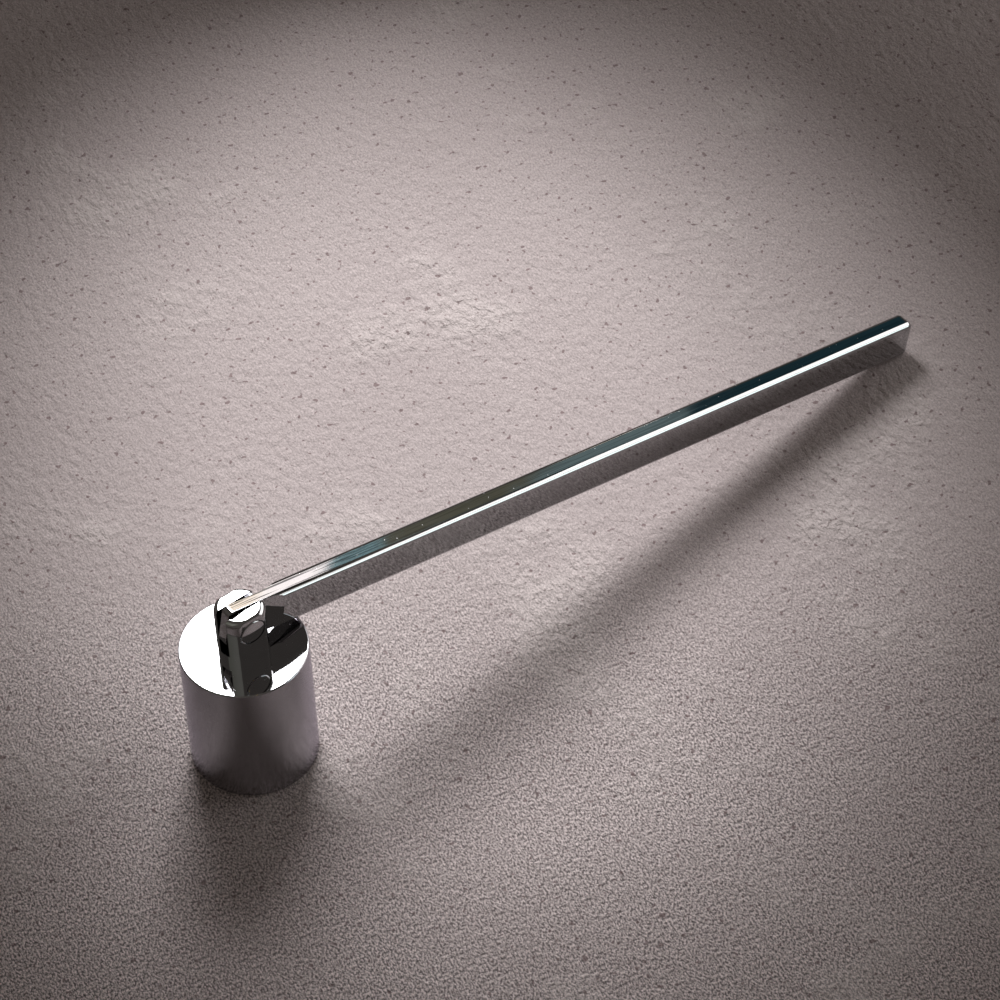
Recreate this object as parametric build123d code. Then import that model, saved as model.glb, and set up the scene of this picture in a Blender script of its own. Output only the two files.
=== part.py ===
from build123d import *
import os
from math import asin, atan2, degrees, hypot, sqrt

os.makedirs("parts", exist_ok=True)

# Candle snuffer, in millimetres: a bell standing on its mouth, a forked post on its crown, and a flat bar handle
# that swings on a pin through the fork. The origin is the centre of the mouth, on the table, and +Z is up.
# The handle lies in the XZ plane, towards +X, and slopes down until its far end rests on the table.

# Bell
bell_radius = 12.5
bell_height = 30.0
bell_wall = 0.9
crown_thickness = 1.2
crown_edge_radius = 0.3
crown_corner_chamfer = 2.5
mouth_edge_chamfer = 0.15

# Forked post on the crown
post_radius = 4.95
post_height = 11.8
post_top_radius = 1.2
ear_face_offset = 4.1
ear_corner_radius = 1.4
ear_top_radius = 0.5
slot_width = 3.2
slot_floor_height = 2.1
slot_mouth_radius = 0.5
slot_mouth_edge_stand = 0.03

# Pivot pin through the ears, with a crowned head on the near side and a riveted end on the far side
pin_height = 8.0
pin_radius = 1.5
pin_head_radius = 2.6
pin_head_thickness = 0.85
pin_head_crown_radius = 10.0
pin_head_edge_radius = 0.25
rivet_end_radius = 2.3
rivet_end_thickness = 0.65
rivet_end_chamfer = 0.3
pin_fit_clearance = 0.01
pin_running_clearance = 0.05
head_seat_depth = 0.5
head_seat_clearance = 0.25

# Handle, a flat bar whose end is milled thin on both flanks by a disc cutter, deeper on the far one
handle_length = 171.0
bar_height = 8.52
bar_width = 4.26
bar_edge_radius = 1.0
bar_end_radius = 1.3
tongue_thickness = 2.1
tongue_side_shift = -0.2
tongue_flank_reach = 4.0
tongue_end_reach = 4.0
tongue_corner_radius = 1.1
cutter_radius = 13.0

# Screw and split washer that hold the post from inside the bell
screw_radius = 1.5
screw_hole_clearance = 0.2
screw_thread_clearance = 0.01
screw_tip_setback = 0.2
screw_head_radius = 2.8
screw_head_height = 1.8
screw_head_edge_chamfer = 0.5
recess_width = 0.8
recess_span = 3.0
recess_depth = 1.2
washer_radius = 2.6
washer_bore_clearance = 0.1
washer_thickness = 0.6
washer_split = 0.5

# How far cutting shapes run past the faces that they cut
overrun = 1.0

# Heights of the seats, from the table up
crown_top = bell_height
crown_underside = bell_height - crown_thickness
washer_underside = crown_underside - washer_thickness
slot_floor = crown_top + slot_floor_height
pivot_height = crown_top + pin_height
head_seat_offset = ear_face_offset - head_seat_depth

# The handle's lower far corner touches the table, which sets its slope
reach_to_corner = handle_length - bar_end_radius
drop_to_corner = bar_height / 2 - bar_end_radius
corner_fall = pivot_height - bar_end_radius
handle_slope = asin(corner_fall / hypot(reach_to_corner, drop_to_corner)) - atan2(drop_to_corner, reach_to_corner)


def disc(radius, height, at_height):
    """Upright round solid from at_height upwards."""
    return Pos(0, 0, at_height) * Cylinder(radius, height, align=(Align.CENTER, Align.CENTER, Align.MIN))


def cross_cylinder(radius, from_y, to_y):
    """Round solid along Y through the pivot point."""
    lying = Cylinder(radius, to_y - from_y, align=(Align.CENTER, Align.CENTER, Align.MIN))
    return Pos(0, from_y, pivot_height) * Rot(-90, 0, 0) * lying


def make_bell():
    """Cup with a flat crown, rounded at the crown's edge, and a hole for the screw."""
    shell = disc(bell_radius, bell_height, 0)
    shell = fillet(shell.edges().group_by(Axis.Z)[-1], crown_edge_radius)
    inner_radius = bell_radius - bell_wall
    hollow = disc(inner_radius, crown_underside + overrun, -overrun)
    hollow = chamfer(hollow.edges().group_by(Axis.Z)[-1], crown_corner_chamfer)
    shell = shell - hollow
    shell = chamfer(shell.edges().group_by(Axis.Z)[0], mouth_edge_chamfer)
    screw_hole = disc(screw_radius + screw_hole_clearance, crown_thickness + 2 * overrun, crown_underside - overrun)
    return shell - screw_hole


def slot_mouth_cutters():
    """Four upright cutters that round the ears' edges where the slot opens through the post's side.

    Each round stops slot_mouth_edge_stand short of blending into its faces.
    """
    inset = slot_mouth_radius - slot_mouth_edge_stand
    corner_y = slot_width / 2 + inset
    corner_x = sqrt((post_radius - inset) ** 2 - corner_y**2)
    outward = overrun * corner_y / corner_x
    wedge = make_face(Polyline((0, 0), (0, -overrun), (overrun, -overrun), (overrun, outward), close=True))
    corner = Pos(corner_x, corner_y, slot_floor) * extrude(wedge - Circle(slot_mouth_radius), post_height)
    corners = corner + mirror(corner, Plane.XZ)
    return corners + mirror(corners, Plane.YZ)


def make_fork():
    """Post turned round at its top, with a flat on each side, split by a slot into two ears with sunk pin seats."""
    post = disc(post_radius, post_height, crown_top)
    turned_post = fillet(post.edges().group_by(Axis.Z)[-1], post_top_radius)
    flats = Pos(0, 0, crown_top) * Box(
        2 * post_radius + overrun,
        2 * ear_face_offset,
        post_height,
        align=(Align.CENTER, Align.CENTER, Align.MIN),
    )
    post = fillet((post & flats).edges().filter_by(Axis.Z), ear_corner_radius)
    rounded_flats = fillet(flats.edges().filter_by(Axis.X).group_by(Axis.Z)[-1], ear_top_radius)
    post = post & turned_post & rounded_flats
    slot = Box(
        2 * post_radius + overrun,
        slot_width,
        post_height,
        align=(Align.CENTER, Align.CENTER, Align.MIN),
    )
    post = post - Pos(0, 0, slot_floor) * slot
    post = post - slot_mouth_cutters()
    post = post - cross_cylinder(pin_radius + pin_fit_clearance, -post_radius, post_radius)
    head_seat_radius = pin_head_radius + head_seat_clearance
    post = post - cross_cylinder(head_seat_radius, -post_radius - overrun, -head_seat_offset)
    post = post - cross_cylinder(head_seat_radius, head_seat_offset, post_radius + overrun)
    tapped_hole = disc(screw_radius + screw_thread_clearance, slot_floor_height + 2 * overrun, crown_top - overrun)
    return post - tapped_hole


def make_pivot_pin():
    """Plain shank with a slightly crowned head at -Y and a riveted end at +Y."""
    shank = cross_cylinder(pin_radius, -head_seat_offset, head_seat_offset)
    head_front = -head_seat_offset - pin_head_thickness
    head = cross_cylinder(pin_head_radius, head_front, -head_seat_offset)
    head = head & (Pos(0, head_front + pin_head_crown_radius, pivot_height) * Sphere(pin_head_crown_radius))
    head = fillet(head.edges().group_by(Axis.Y)[0], pin_head_edge_radius)
    rivet_end = cross_cylinder(rivet_end_radius, head_seat_offset, head_seat_offset + rivet_end_thickness)
    rivet_end = chamfer(rivet_end.edges().group_by(Axis.Y)[-1], rivet_end_chamfer)
    return shank + head + rivet_end


def make_handle():
    """Flat bar with rounded edges; its tongue is milled down on both flanks and turns on the pin."""
    overall_length = tongue_end_reach + handle_length
    bar_profile = Pos(overall_length / 2 - tongue_end_reach, 0) * Rectangle(overall_length, bar_height)
    bar_profile = fillet(bar_profile.vertices().group_by(Axis.X)[-1], bar_end_radius)
    bar_profile = fillet(bar_profile.vertices().group_by(Axis.X)[0], tongue_corner_radius)
    bar = extrude(Plane.XZ * bar_profile, bar_width / 2, both=True)
    side_faces = bar.faces().filter_by(Axis.Y)
    bar = fillet(side_faces.edges(), bar_edge_radius)
    # each flank is milled in a straight run that ends in the cutter's own round
    run_length = tongue_end_reach + overrun + tongue_flank_reach
    for side in (-1, 1):
        flank = tongue_side_shift + side * tongue_thickness / 2
        run = Pos(tongue_flank_reach - run_length / 2, flank + side * cutter_radius / 2) * Rectangle(
            run_length, cutter_radius
        )
        cutter = Pos(tongue_flank_reach, flank + side * cutter_radius) * Circle(cutter_radius)
        bar = bar - extrude(run + cutter, bar_height, both=True)
    bar = Pos(0, 0, pivot_height) * Rot(0, degrees(handle_slope), 0) * bar
    return bar - cross_cylinder(pin_radius + pin_running_clearance, -bar_width, bar_width)


def make_fixing_screw():
    """Round head screw with a cross recess, pointing up."""
    shank_length = slot_floor - screw_tip_setback - washer_underside
    shank = disc(screw_radius, shank_length, washer_underside)
    head_bottom = washer_underside - screw_head_height
    head = disc(screw_head_radius, screw_head_height, head_bottom)
    head = chamfer(head.edges().group_by(Axis.Z)[0], screw_head_edge_chamfer)
    recess = Pos(0, 0, head_bottom + recess_depth) * Box(
        recess_span, recess_width, recess_depth + overrun, align=(Align.CENTER, Align.CENTER, Align.MAX)
    )
    return shank + head - recess - Rot(0, 0, 90) * recess


def make_lock_washer():
    """Split spring washer, flattened under the screw's head."""
    bore = screw_radius + washer_bore_clearance
    ring = disc(washer_radius, washer_thickness, washer_underside)
    ring = ring - disc(bore, washer_thickness + overrun, washer_underside)
    split = Pos(0, 0, washer_underside) * Box(
        washer_split, washer_radius + overrun, washer_thickness, align=(Align.CENTER, Align.MAX, Align.MIN)
    )
    return ring - split


pieces = {
    "bell": make_bell(),
    "fork": make_fork(),
    "pivot_pin": make_pivot_pin(),
    "handle": make_handle(),
    "fixing_screw": make_fixing_screw(),
    "lock_washer": make_lock_washer(),
}

for name, piece in pieces.items():
    export_step(piece, f"parts/{name}.step")

print("pivot height", round(pivot_height, 3), "handle slope, degrees", round(degrees(handle_slope), 3))
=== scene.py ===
from math import cos, pi, radians, sin

import bpy
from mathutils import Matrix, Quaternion, Vector

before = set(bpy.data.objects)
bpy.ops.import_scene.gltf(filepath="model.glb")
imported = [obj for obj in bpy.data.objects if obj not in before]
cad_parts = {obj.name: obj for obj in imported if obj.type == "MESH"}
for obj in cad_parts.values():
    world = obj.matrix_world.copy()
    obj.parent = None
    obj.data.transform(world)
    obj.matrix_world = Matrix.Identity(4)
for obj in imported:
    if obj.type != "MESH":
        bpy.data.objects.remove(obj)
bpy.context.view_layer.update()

# Candle snuffer, in metres, in the row frame. The bell stands on its mouth at the origin, and the
# handle slopes down along +X until its far end rests on the table.
MM = 0.001


# Node helpers

def node(tree, kind, **sockets):
    """A new node of that kind, with inputs set by name. Underscores stand for spaces."""
    made = tree.nodes.new(kind)
    for name, value in sockets.items():
        made.inputs[name.replace("_", " ")].default_value = value
    return made


def feed(tree, socket, value):
    """Links the socket to value if that is a socket, or else sets it to that number or colour."""
    if isinstance(value, bpy.types.NodeSocket):
        tree.links.new(value, socket)
    elif isinstance(value, (tuple, list)):
        socket.default_value = (*value, 1)
    else:
        socket.default_value = value


def maths(tree, operation, first, second, clamp=False):
    """The result of one operation on two values, each a socket or a number."""
    made = tree.nodes.new("ShaderNodeMath")
    made.operation = operation
    made.use_clamp = clamp
    for socket, value in zip(made.inputs, (first, second)):
        feed(tree, socket, value)
    return made.outputs[0]


def spread(tree, value, low, high, to_low=0.0, to_high=1.0):
    """Maps value from low..high to to_low..to_high, smoothly and held at the ends."""
    made = tree.nodes.new("ShaderNodeMapRange")
    made.interpolation_type = "SMOOTHSTEP"
    made.inputs["From Min"].default_value = low
    made.inputs["From Max"].default_value = high
    made.inputs["To Min"].default_value = to_low
    made.inputs["To Max"].default_value = to_high
    tree.links.new(value, made.inputs["Value"])
    return made.outputs["Result"]


def noise(tree, vector, scale, detail, roughness):
    """Noise from 0 to 1, with about that many lumps in a metre."""
    made = node(tree, "ShaderNodeTexNoise", Scale=scale, Detail=detail, Roughness=roughness)
    tree.links.new(vector, made.inputs["Vector"])
    return made.outputs["Fac"]


def blend_colour(tree, factor, first, second):
    """Colour that goes from first to second with factor; each is a socket or a colour."""
    made = tree.nodes.new("ShaderNodeMix")
    made.data_type = "RGBA"
    tree.links.new(factor, made.inputs["Factor"])
    for name, value in (("A", first), ("B", second)):
        feed(tree, made.inputs[name], value)
    return made.outputs["Result"]


def turned(tree, vector, rotation=(0, 0, 0), scale=(1, 1, 1)):
    """Coordinates turned by rotation and then stretched by scale."""
    for name, value in (("Rotation", rotation), ("Scale", scale)):
        made = node(tree, "ShaderNodeMapping", **{name: value})
        tree.links.new(vector, made.inputs["Vector"])
        vector = made.outputs["Vector"]
    return vector


def split(tree, vector):
    """The vector's three parts, as sockets named X, Y and Z."""
    parts = tree.nodes.new("ShaderNodeSeparateXYZ")
    tree.links.new(vector, parts.inputs["Vector"])
    return parts.outputs


def bump(tree, height, depth, below=None):
    """Bump of that depth in metres for a height from 0 to 1, on top of the one below."""
    made = node(tree, "ShaderNodeBump", Strength=1.0, Distance=depth)
    tree.links.new(height, made.inputs["Height"])
    if below is not None:
        tree.links.new(below, made.inputs["Normal"])
    return made.outputs["Normal"]


# Effects that several finishes share, as node groups

def new_group(name, inputs, outputs):
    """An empty group with float inputs {name: default} and outputs [name], and its two ends."""
    group = bpy.data.node_groups.new(name, "ShaderNodeTree")
    sockets = group.interface
    sockets.new_socket("Place", in_out="INPUT", socket_type="NodeSocketVector")
    for label, default in inputs.items():
        socket = sockets.new_socket(label, in_out="INPUT", socket_type="NodeSocketFloat")
        socket.default_value = default
    for label in outputs:
        sockets.new_socket(label, in_out="OUTPUT", socket_type="NodeSocketFloat")
    return group, group.nodes.new("NodeGroupInput"), group.nodes.new("NodeGroupOutput")


SMEAR_SHOWS = (0.45, 0.75)


def polish_group():
    """Hand polish on plated metal: a slow ripple in the surface and faint smears that dull it."""
    inputs = {"Ripple Scale": 400.0, "Smear Scale": 120.0}
    group, start, end = new_group("hand polish", inputs, ["Ripple", "Smear"])
    ripple = node(group, "ShaderNodeTexNoise", Detail=1.0, Roughness=0.4)
    smear = node(group, "ShaderNodeTexNoise", Detail=4.0, Roughness=0.6)
    for made, scale in ((ripple, "Ripple Scale"), (smear, "Smear Scale")):
        group.links.new(start.outputs["Place"], made.inputs["Vector"])
        group.links.new(start.outputs[scale], made.inputs["Scale"])
    group.links.new(ripple.outputs["Fac"], end.inputs["Ripple"])
    group.links.new(spread(group, smear.outputs["Fac"], *SMEAR_SHOWS), end.inputs["Smear"])
    return group


# How far from a speck's middle it starts and stops fading, in parts of the specks' spacing
SPECK_EDGE = (0.08, 0.22)


def dust_group():
    """Specks of dust and tiny pits: sparse round dots, as a mask."""
    inputs = {"Speck Scale": 900.0, "Amount": 0.12}
    group, start, end = new_group("dust specks", inputs, ["Specks"])
    cells = group.nodes.new("ShaderNodeTexVoronoi")
    group.links.new(start.outputs["Place"], cells.inputs["Vector"])
    group.links.new(start.outputs["Speck Scale"], cells.inputs["Scale"])
    dot = spread(group, cells.outputs["Distance"], *SPECK_EDGE, 1.0, 0.0)
    channel = group.nodes.new("ShaderNodeSeparateColor")
    group.links.new(cells.outputs["Color"], channel.inputs["Color"])
    chosen = maths(group, "LESS_THAN", channel.outputs["Red"], start.outputs["Amount"])
    group.links.new(maths(group, "MULTIPLY", dot, chosen), end.inputs["Specks"])
    return group


LINE_STRETCH = (0.012, 1, 1)
SCRATCH_STRETCH = (0.02, 1, 1)
SCRATCH_SCALE = 4300.0
SCRATCH_SHOWS = (0.5, 0.57)


def streak_group():
    """Fine polishing lines and deeper scratches that run along the given place's first axis."""
    inputs = {"Line Scale": 2000.0}
    group, start, end = new_group("polishing lines", inputs, ["Lines", "Scratches"])
    place = start.outputs["Place"]
    lines = node(group, "ShaderNodeTexNoise", Detail=2.0, Roughness=0.6)
    group.links.new(turned(group, place, scale=LINE_STRETCH), lines.inputs["Vector"])
    group.links.new(start.outputs["Line Scale"], lines.inputs["Scale"])
    group.links.new(lines.outputs["Fac"], end.inputs["Lines"])
    scratches = noise(group, turned(group, place, scale=SCRATCH_STRETCH), SCRATCH_SCALE, 1.0, 0.4)
    group.links.new(spread(group, scratches, *SCRATCH_SHOWS), end.inputs["Scratches"])
    return group


POLISH = polish_group()
DUST = dust_group()
STREAKS = streak_group()


def place_group(tree, group, place, **values):
    """The group as a node in tree, fed with place and its own values."""
    made = tree.nodes.new("ShaderNodeGroup")
    made.node_tree = group
    tree.links.new(place, made.inputs["Place"])
    for name, value in values.items():
        made.inputs[name.replace("_", " ")].default_value = value
    return made


# Finishes

# The handle's axis falls from the hinge by this angle, and its polishing lines follow it.
HANDLE_SLOPE = radians(11.488)
ALONG_THE_HANDLE = (0, -HANDLE_SLOPE, 0)
UPRIGHT = (0, radians(90), 0)
PIVOT_HEIGHT = 38 * MM
BAR_HALF_HEIGHT = 4.26 * MM
CROWN_HEIGHT = 30 * MM

MIRROR_ROUGHNESS = 0.03
STEEL_ROUGHNESS = 0.22
SMEAR_ROUGHNESS = 0.04
SPECK_ROUGHNESS = 0.35
SATIN_ROUGHNESS = 0.17
SATIN_EDGE = 0.2 * MM
SMEAR_SHADE = 0.5
DULLED_COLOUR = 0.85
SPECK_SCALE = 1700.0

# Painted reflection: scratches on the handle's top are painted nearly black, for the dark lines
# that polishing grooves show against the top's bright reflection near the hinge.
SCRATCH_REFLECTION_COLOUR = (0.05, 0.05, 0.05)
SCRATCH_REFLECTION_EDGE = 0.3 * MM
# How dark the painted reflection in the scratches is at the two ends of its fading, and where along
# the handle those are; it is darkest near the hinge, against the top's bright reflection there
SCRATCH_REFLECTION_DARKNESS = (0.85, 0.2)
SCRATCH_REFLECTION_FADE = (5 * MM, 30 * MM)

CHROME_TINT = (0.5, 0.5, 0.51)
BELL_TINT = (0.46, 0.455, 0.475)
BELL_EDGE_TINT = (0.8, 0.78, 0.85, 1)
STEEL_TINT = (0.46, 0.45, 0.43)


def new_material(name):
    """A material with its tree, its Principled shader and the object's own coordinates."""
    material = bpy.data.materials.new(name)
    material.use_nodes = True
    tree = material.node_tree
    coordinates = tree.nodes.new("ShaderNodeTexCoord")
    return material, tree, tree.nodes["Principled BSDF"], coordinates.outputs["Object"]


def chrome(
    name,
    tint,
    ripple_depth,
    ripple_scale,
    speck_amount,
    line_depth,
    line_turn=(0, 0, 0),
    roughness=MIRROR_ROUGHNESS,
    scratch_reflection_from=None,
    satin_below=None,
):
    """Polished metal with hand ripple, polishing lines, smears and a few specks of dust.

    Scratches along the lines are painted nearly black, a painted reflection of the dark that
    polishing grooves show against a bright reflection. This shows above the height
    scratch_reflection_from, square to the lines, and mostly near the lines' start. Below the height
    satin_below the surface is less glossy.
    """
    material, tree, shader, place = new_material(name)
    polish = place_group(tree, POLISH, place, Ripple_Scale=ripple_scale)
    dust = place_group(tree, DUST, place, Speck_Scale=SPECK_SCALE, Amount=speck_amount)
    lined_place = turned(tree, place, rotation=line_turn)
    streaks = place_group(tree, STREAKS, lined_place)
    smear, specks = polish.outputs["Smear"], dust.outputs["Specks"]

    shader.inputs["Metallic"].default_value = 1.0
    haze = maths(tree, "MULTIPLY", smear, SMEAR_ROUGHNESS)
    dull = maths(tree, "MULTIPLY", specks, SPECK_ROUGHNESS)
    rough = maths(tree, "ADD", maths(tree, "ADD", haze, roughness), dull)
    if satin_below is not None:
        height = split(tree, place)["Z"]
        edge = (satin_below - SATIN_EDGE, satin_below)
        rough = maths(tree, "ADD", rough, spread(tree, height, *edge, SATIN_ROUGHNESS, 0.0))
    tree.links.new(rough, shader.inputs["Roughness"])

    shade = maths(tree, "ADD", maths(tree, "MULTIPLY", smear, SMEAR_SHADE), specks, clamp=True)
    colour = blend_colour(tree, shade, tint, [DULLED_COLOUR * part for part in tint])
    # Painted reflection: the scratches darken the colour on the top only, most near the lines'
    # start.
    if scratch_reflection_from is not None:
        parts = split(tree, lined_place)
        on_top = spread(tree, parts["Z"], scratch_reflection_from, scratch_reflection_from + SCRATCH_REFLECTION_EDGE)
        near_start = spread(tree, parts["X"], *SCRATCH_REFLECTION_FADE, *SCRATCH_REFLECTION_DARKNESS)
        scratch_reflection = maths(tree, "MULTIPLY", streaks.outputs["Scratches"], on_top)
        scratch_reflection = maths(tree, "MULTIPLY", scratch_reflection, near_start)
        colour = blend_colour(tree, scratch_reflection, colour, SCRATCH_REFLECTION_COLOUR)
    tree.links.new(colour, shader.inputs["Base Color"])

    rippled = bump(tree, polish.outputs["Ripple"], ripple_depth)
    lined = bump(tree, streaks.outputs["Lines"], line_depth, rippled)
    tree.links.new(lined, shader.inputs["Normal"])
    return material


BELL_CHROME = chrome(
    "bell chrome",
    BELL_TINT,
    ripple_depth=4e-6,
    ripple_scale=330.0,
    speck_amount=0.05,
    line_depth=1.5e-7,
    line_turn=UPRIGHT,
    satin_below=CROWN_HEIGHT - 0.3 * MM,
)
bell_shader = BELL_CHROME.node_tree.nodes["Principled BSDF"]
bell_shader.inputs["Specular Tint"].default_value = BELL_EDGE_TINT
FORK_CHROME = chrome(
    "fork chrome",
    CHROME_TINT,
    ripple_depth=2.5e-6,
    ripple_scale=500.0,
    speck_amount=0.05,
    line_depth=2e-7,
)
PIN_CHROME = chrome(
    "pin chrome",
    CHROME_TINT,
    ripple_depth=1.5e-6,
    ripple_scale=900.0,
    speck_amount=0.03,
    line_depth=1e-7,
)
HANDLE_CHROME = chrome(
    "handle chrome",
    CHROME_TINT,
    ripple_depth=3e-6,
    ripple_scale=250.0,
    speck_amount=0.1,
    line_depth=1.2e-6,
    line_turn=ALONG_THE_HANDLE,
    # The handle's top gets the scratches' painted reflection: dark lines against its bright
    # reflection near the hinge.
    scratch_reflection_from=PIVOT_HEIGHT * cos(HANDLE_SLOPE) + BAR_HALF_HEIGHT - 0.35 * MM,
)
SCREW_STEEL = chrome(
    "screw steel",
    STEEL_TINT,
    ripple_depth=2e-6,
    ripple_scale=1500.0,
    speck_amount=0.05,
    line_depth=1e-6,
    roughness=STEEL_ROUGHNESS,
)

FINISHES = {
    "bell": BELL_CHROME,
    "fork": FORK_CHROME,
    "pivot_pin": PIN_CHROME,
    "handle": HANDLE_CHROME,
    "fixing_screw": SCREW_STEEL,
    "lock_washer": SCREW_STEEL,
}
for name, finish in FINISHES.items():
    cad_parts[name].material_slots[0].material = finish


# Floor

GRAIN_TURN = (0, 0, radians(13))
GRAIN_STRETCH = (1, 0.6, 1)
GRAIN_SCALE = 2600.0
LUMP_SCALE = 560.0
CLOUD_SCALE = 14.0
PATCH_SCALE = 22.0
PIT_SCALE = 640.0
PATCH_EDGE = (0.52, 0.68)
PIT_EDGE = (0.27, 0.345)
CLOUD_EDGE = (0.3, 0.7)
PIT_DARKNESS = 0.7
CLOUD_STRENGTH = 0.25
PATCH_STRENGTH = 0.3

# The grain is coarser on the near side: how far the floor lies that way, and how coarse it is.
NEARNESS_TURN = (0, 0, radians(36))
NEARNESS = (0.06, -0.01)
COARSENESS = (0.5, 2.4)
GRAIN_RANGE = (-0.35, 0.35)

SAND_COLOURS = ((0.1, 0.086, 0.086), (0.96, 0.83, 0.825))
CLOUD_COLOUR = (0.42, 0.35, 0.35)
PATCH_COLOUR = (0.78, 0.7, 0.68)
PIT_COLOUR = (0.17, 0.11, 0.11)

LUMP_DEPTH = 1 * MM
GRAIN_DEPTH = 0.2 * MM
# How strong the relief is off the patches, and how much more it is on them
RELIEF = 0.7
PATCH_RELIEF = 0.8

PLASTER_ROUGHNESS = 0.85
PLASTER_SPECULAR = 0.2


def plaster():
    """Pale mauve plaster with a sandy relief, rougher and paler in patches, and small dark pits."""
    material, tree, shader, place = new_material("pale plaster")
    drawn = turned(tree, place, rotation=GRAIN_TURN, scale=GRAIN_STRETCH)
    grain = noise(tree, drawn, GRAIN_SCALE, 3.0, 0.7)
    lumps = noise(tree, drawn, LUMP_SCALE, 3.0, 0.6)
    clouds = noise(tree, place, CLOUD_SCALE, 3.0, 0.5)
    patches = spread(tree, noise(tree, place, PATCH_SCALE, 4.0, 0.6), *PATCH_EDGE)
    pits = spread(tree, noise(tree, place, PIT_SCALE, 1.0, 0.5), *PIT_EDGE, PIT_DARKNESS, 0.0)
    nearness = split(tree, turned(tree, place, rotation=NEARNESS_TURN))["Y"]
    coarseness = spread(tree, nearness, *NEARNESS, *COARSENESS)
    shade = maths(tree, "MULTIPLY", maths(tree, "SUBTRACT", grain, 0.5), coarseness)

    sand = blend_colour(tree, spread(tree, shade, *GRAIN_RANGE), *SAND_COLOURS)
    cloudy = spread(tree, clouds, *CLOUD_EDGE, 0.0, CLOUD_STRENGTH)
    tone = blend_colour(tree, cloudy, sand, CLOUD_COLOUR)
    patched = maths(tree, "MULTIPLY", patches, PATCH_STRENGTH)
    pale = blend_colour(tree, patched, tone, PATCH_COLOUR)
    tree.links.new(blend_colour(tree, pits, pale, PIT_COLOUR), shader.inputs["Base Color"])
    shader.inputs["Roughness"].default_value = PLASTER_ROUGHNESS
    shader.inputs["Specular IOR Level"].default_value = PLASTER_SPECULAR

    raised = maths(tree, "ADD", maths(tree, "MULTIPLY", patches, PATCH_RELIEF), RELIEF)
    coarse = bump(tree, maths(tree, "MULTIPLY", lumps, raised), LUMP_DEPTH)
    tree.links.new(bump(tree, shade, GRAIN_DEPTH, coarse), shader.inputs["Normal"])
    return material


def stage_mesh(name, corners, faces, material):
    """A mesh that is part of the stage and not of the snuffer."""
    mesh = bpy.data.meshes.new(name)
    mesh.from_pydata(corners, [], faces)
    mesh.materials.append(material)
    piece = bpy.data.objects.new(name, mesh)
    bpy.context.scene.collection.objects.link(piece)
    return piece


FLOOR_HALF = 1.5
FLOOR_SIGNS = ((-1, -1), (1, -1), (1, 1), (-1, 1))
FLOOR_CORNERS = [(x * FLOOR_HALF, y * FLOOR_HALF, 0) for x, y in FLOOR_SIGNS]
stage_mesh("floor", FLOOR_CORNERS, [(0, 1, 2, 3)], plaster())


# Light. Directions are seen from the snuffer's middle, in degrees: azimuth from +X towards +Y, and
# elevation above the floor.

AIM = Vector((0.05, 0.0, 0.01))


def towards(azimuth, elevation):
    """Unit vector in that direction."""
    a, e = radians(azimuth), radians(elevation)
    return Vector((cos(a) * cos(e), sin(a) * cos(e), sin(e)))


def aim(piece, azimuth, elevation, distance):
    """Puts a flat piece that far off in that direction, facing the snuffer, its X axis level."""
    direction = towards(azimuth, elevation)
    piece.location = AIM + direction * distance
    piece.rotation_mode = "QUATERNION"
    piece.rotation_quaternion = direction.to_track_quat("Z", "Y")


def softbox(name, azimuth, elevation, distance, width, height, brightness):
    """A soft rectangular lamp; brightness is how bright its face looks, with 1 as white."""
    lamp = bpy.data.lights.new(name, "AREA")
    lamp.shape = "RECTANGLE"
    lamp.size = width
    lamp.size_y = height
    lamp.energy = brightness * pi * width * height
    holder = bpy.data.objects.new(name, lamp)
    aim(holder, azimuth, elevation, distance)
    holder.visible_camera = False
    bpy.context.scene.collection.objects.link(holder)
    return holder


WINDOW_AZIMUTH, WINDOW_ELEVATION = 62, 44.5
softbox(
    "window", WINDOW_AZIMUTH, WINDOW_ELEVATION,
    distance=1.1, width=0.62, height=0.46, brightness=17.1,
)
fill = softbox("fill", -20, 26, distance=1.0, width=0.6, height=0.6, brightness=1.2)
fill.visible_glossy = False


# A mask with an oval opening stands in the window's light alone, so that it falls in a soft pool
# on the floor.

POOL_CENTRE = Vector((0.0647, 0.0199, 0))
POOL_REACH = (0.08, 0.1127)
POOL_TURN = radians(-28)
MASK_HEIGHT = 0.1
MASK_STEPS = 96


def hide_from_rays(piece, *kinds):
    """Rays of these kinds pass the piece by."""
    for kind in kinds:
        setattr(piece, "visible_" + kind, False)


def oval(middle, reach):
    """Corners of an oval ring around middle, with its second axis turned by POOL_TURN from +Y."""
    corners = []
    for step in range(MASK_STEPS):
        a = 2 * pi * step / MASK_STEPS
        along, across = reach[0] * cos(a), reach[1] * sin(a)
        x = middle.x + along * cos(POOL_TURN) - across * sin(POOL_TURN)
        y = middle.y + along * sin(POOL_TURN) + across * cos(POOL_TURN)
        corners.append((x, y, middle.z))
    return corners


def make_mask():
    """The mask, as a flat ring from the oval opening out to a wide round."""
    toward_window = towards(WINDOW_AZIMUTH, WINDOW_ELEVATION)
    middle = POOL_CENTRE + toward_window * (MASK_HEIGHT / toward_window.z)
    corners = oval(middle, POOL_REACH) + oval(middle, (FLOOR_HALF, FLOOR_HALF))
    rounds = [(step, (step + 1) % MASK_STEPS) for step in range(MASK_STEPS)]
    faces = [(one, other, MASK_STEPS + other, MASK_STEPS + one) for one, other in rounds]
    black = new_material("black card")[0]
    black.node_tree.nodes["Principled BSDF"].inputs["Base Color"].default_value = (0, 0, 0, 1)
    mask = stage_mesh("light mask", corners, faces, black)
    hide_from_rays(mask, "camera", "diffuse", "glossy", "transmission")
    return mask


# The mask throws no shadow in the fill's light.
spared = bpy.data.collections.new("spared by the fill")
spared.objects.link(make_mask())
spared.collection_objects[0].light_linking.link_state = "EXCLUDE"
fill.light_linking.blocker_collection = spared


# Cards around the snuffer, out of the camera's sight, which only its mirror polish shows. Their
# colours may be brighter than white.

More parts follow.
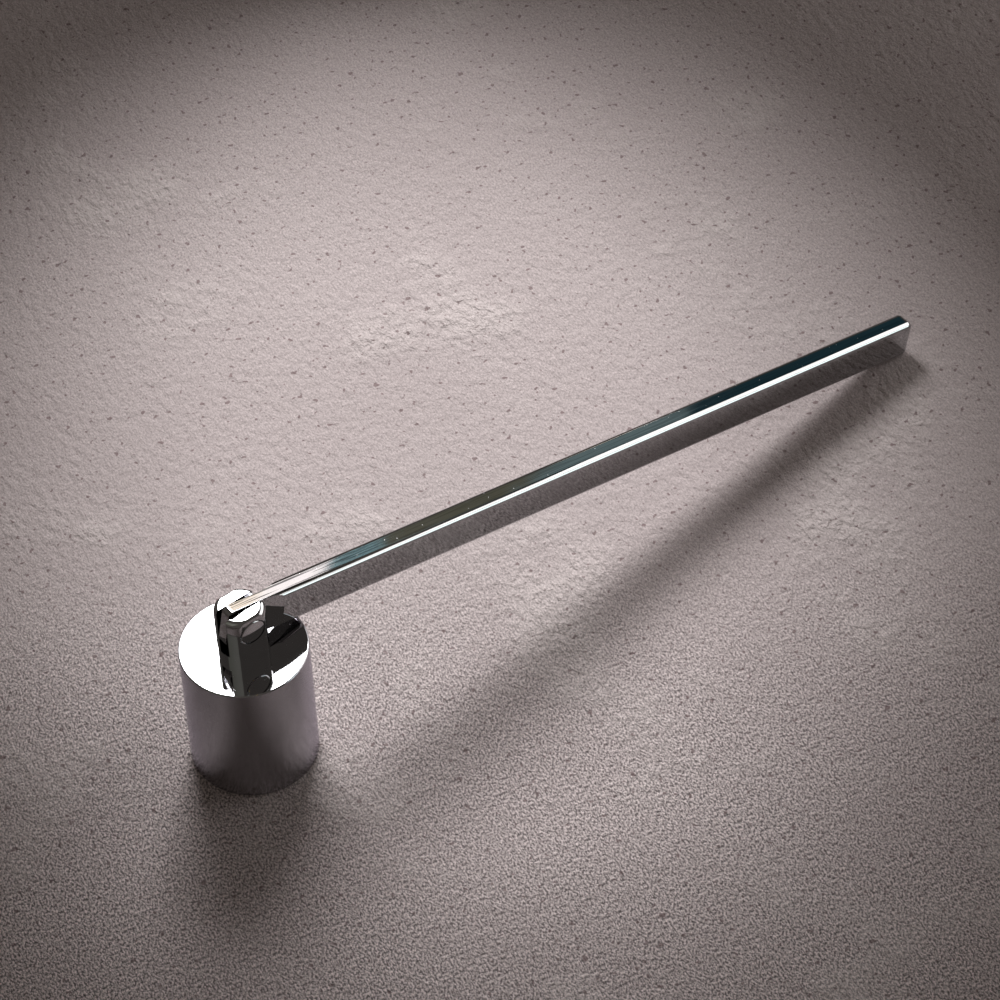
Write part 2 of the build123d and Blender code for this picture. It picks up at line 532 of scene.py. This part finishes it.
def glow_material(name, paint):
    """Material that gives off a plain colour, or the one that paint(tree, place) returns."""
    material = bpy.data.materials.new(name)
    material.use_nodes = True
    tree = material.node_tree
    tree.nodes.remove(tree.nodes["Principled BSDF"])
    place = tree.nodes.new("ShaderNodeTexCoord").outputs["Object"]
    glow = tree.nodes.new("ShaderNodeEmission")
    feed(tree, glow.inputs["Color"], paint(tree, place) if callable(paint) else paint)
    tree.links.new(glow.outputs["Emission"], tree.nodes["Material Output"].inputs["Surface"])
    return material


def card(name, azimuth, elevation, distance, left, right, low, high, paint):
    """A card that faces the snuffer.

    Its four bounds are as seen from the snuffer, from the point that the direction meets.
    """
    corners = [(-left, low, 0), (-left, high, 0), (-right, high, 0), (-right, low, 0)]
    piece = stage_mesh(name, corners, [(0, 1, 2, 3)], glow_material(name, paint))
    aim(piece, azimuth, elevation, distance)
    hide_from_rays(piece, "camera", "diffuse", "shadow")


CREAM = (1.75, 1.5, 1.22)
PALE_CREAM = (1.9, 1.75, 1.7)
TEAL_FLECKS = ((0.07, 0.1, 0.14), (0.33, 0.55, 0.56))
OLIVE = (0.13, 0.125, 0.09)
SLATE = (0.17, 0.23, 0.235)
NEARLY_BLACK = (0.016, 0.04, 0.05)
DIM_GREY = (0.2, 0.2, 0.165)
SOFT_GREY = (0.26, 0.255, 0.22)
MOTTLE_REACH = 0.05


def dim_wall(tree, place):
    """Wall that goes from pale cream by flecked teal, olive and slate to nearly black.

    Its changes of colour start and end that far to the right, and the last ones are mottled.
    """
    mottle = noise(tree, place, 30.0, 4.0, 0.65)
    flecks = spread(tree, noise(tree, place, 420.0, 3.0, 0.6), 0.38, 0.62)
    right = maths(tree, "MULTIPLY", split(tree, place)["X"], -1)
    across = maths(tree, "ADD", maths(tree, "MULTIPLY", mottle, MOTTLE_REACH), right)
    teal = blend_colour(tree, flecks, *TEAL_FLECKS)
    wall = blend_colour(tree, spread(tree, right, -0.15, -0.144), CREAM, PALE_CREAM)
    wall = blend_colour(tree, spread(tree, right, -0.1262, -0.1238), wall, teal)
    wall = blend_colour(tree, spread(tree, across, -0.086, -0.0786), wall, OLIVE)
    wall = blend_colour(tree, spread(tree, across, -0.037, -0.0277), wall, SLATE)
    return blend_colour(tree, spread(tree, across, 0.0151, 0.0245), wall, NEARLY_BLACK)


def grey_wall(tree, place):
    """Wall that brightens a little to the left."""
    return blend_colour(tree, spread(tree, split(tree, place)["X"], -0.2, 0.3), DIM_GREY, SOFT_GREY)


card("dim wall", 34.5, 30, 1.0, left=-0.175, right=0.145, low=-0.14, high=0.17, paint=dim_wall)
card(
    "upper white card", -16, 24, 1.0,
    left=-0.62, right=0.35, low=-0.3, high=0.44, paint=(2.5, 2.43, 2.35),
)
card(
    "lower white card", -16, 24, 1.0,
    left=0.42, right=0.95, low=-0.45, high=0.3, paint=(2.1, 2.4, 2.35),
)
card("grey wall", -177, 50, 1.1, left=-0.36, right=0.26, low=-0.4, high=0.35, paint=grey_wall)
card(
    "warm lamp", -113, 42, 1.0,
    left=-0.018, right=0.018, low=-0.018, high=0.018, paint=(16.0, 10.5, 3.5),
)

world = bpy.data.worlds.new("room")
world.use_nodes = True
world.node_tree.nodes["Background"].inputs["Color"].default_value = (0.1, 0.09, 0.08, 1)
bpy.context.scene.world = world


# Camera. Its azimuth is 0 where it looks along +Y, and its roll is about its own view.

CAMERA_AZIMUTH = -35.886
CAMERA_ELEVATION = 48.254
CAMERA_ROLL = -2.835
CAMERA_TARGET = Vector((76.051, 19.904, 0)) * MM
CAMERA_DISTANCE = 908.979 * MM
CAMERA_LENS = 160.6
CAMERA_SENSOR = 36

camera = bpy.data.objects.new("camera", bpy.data.cameras.new("camera"))
camera.data.lens = CAMERA_LENS
camera.data.sensor_width = CAMERA_SENSOR
back = towards(CAMERA_AZIMUTH - 90, CAMERA_ELEVATION)
rolled = Quaternion((0, 0, 1), radians(CAMERA_ROLL))
camera.location = CAMERA_TARGET + back * CAMERA_DISTANCE
camera.rotation_mode = "QUATERNION"
camera.rotation_quaternion = (-back).to_track_quat("-Z", "Y") @ rolled
camera.data.clip_start = 0.05
camera.data.clip_end = 20
bpy.context.scene.collection.objects.link(camera)
bpy.context.scene.camera = camera
bpy.context.scene.view_settings.view_transform = "Standard"
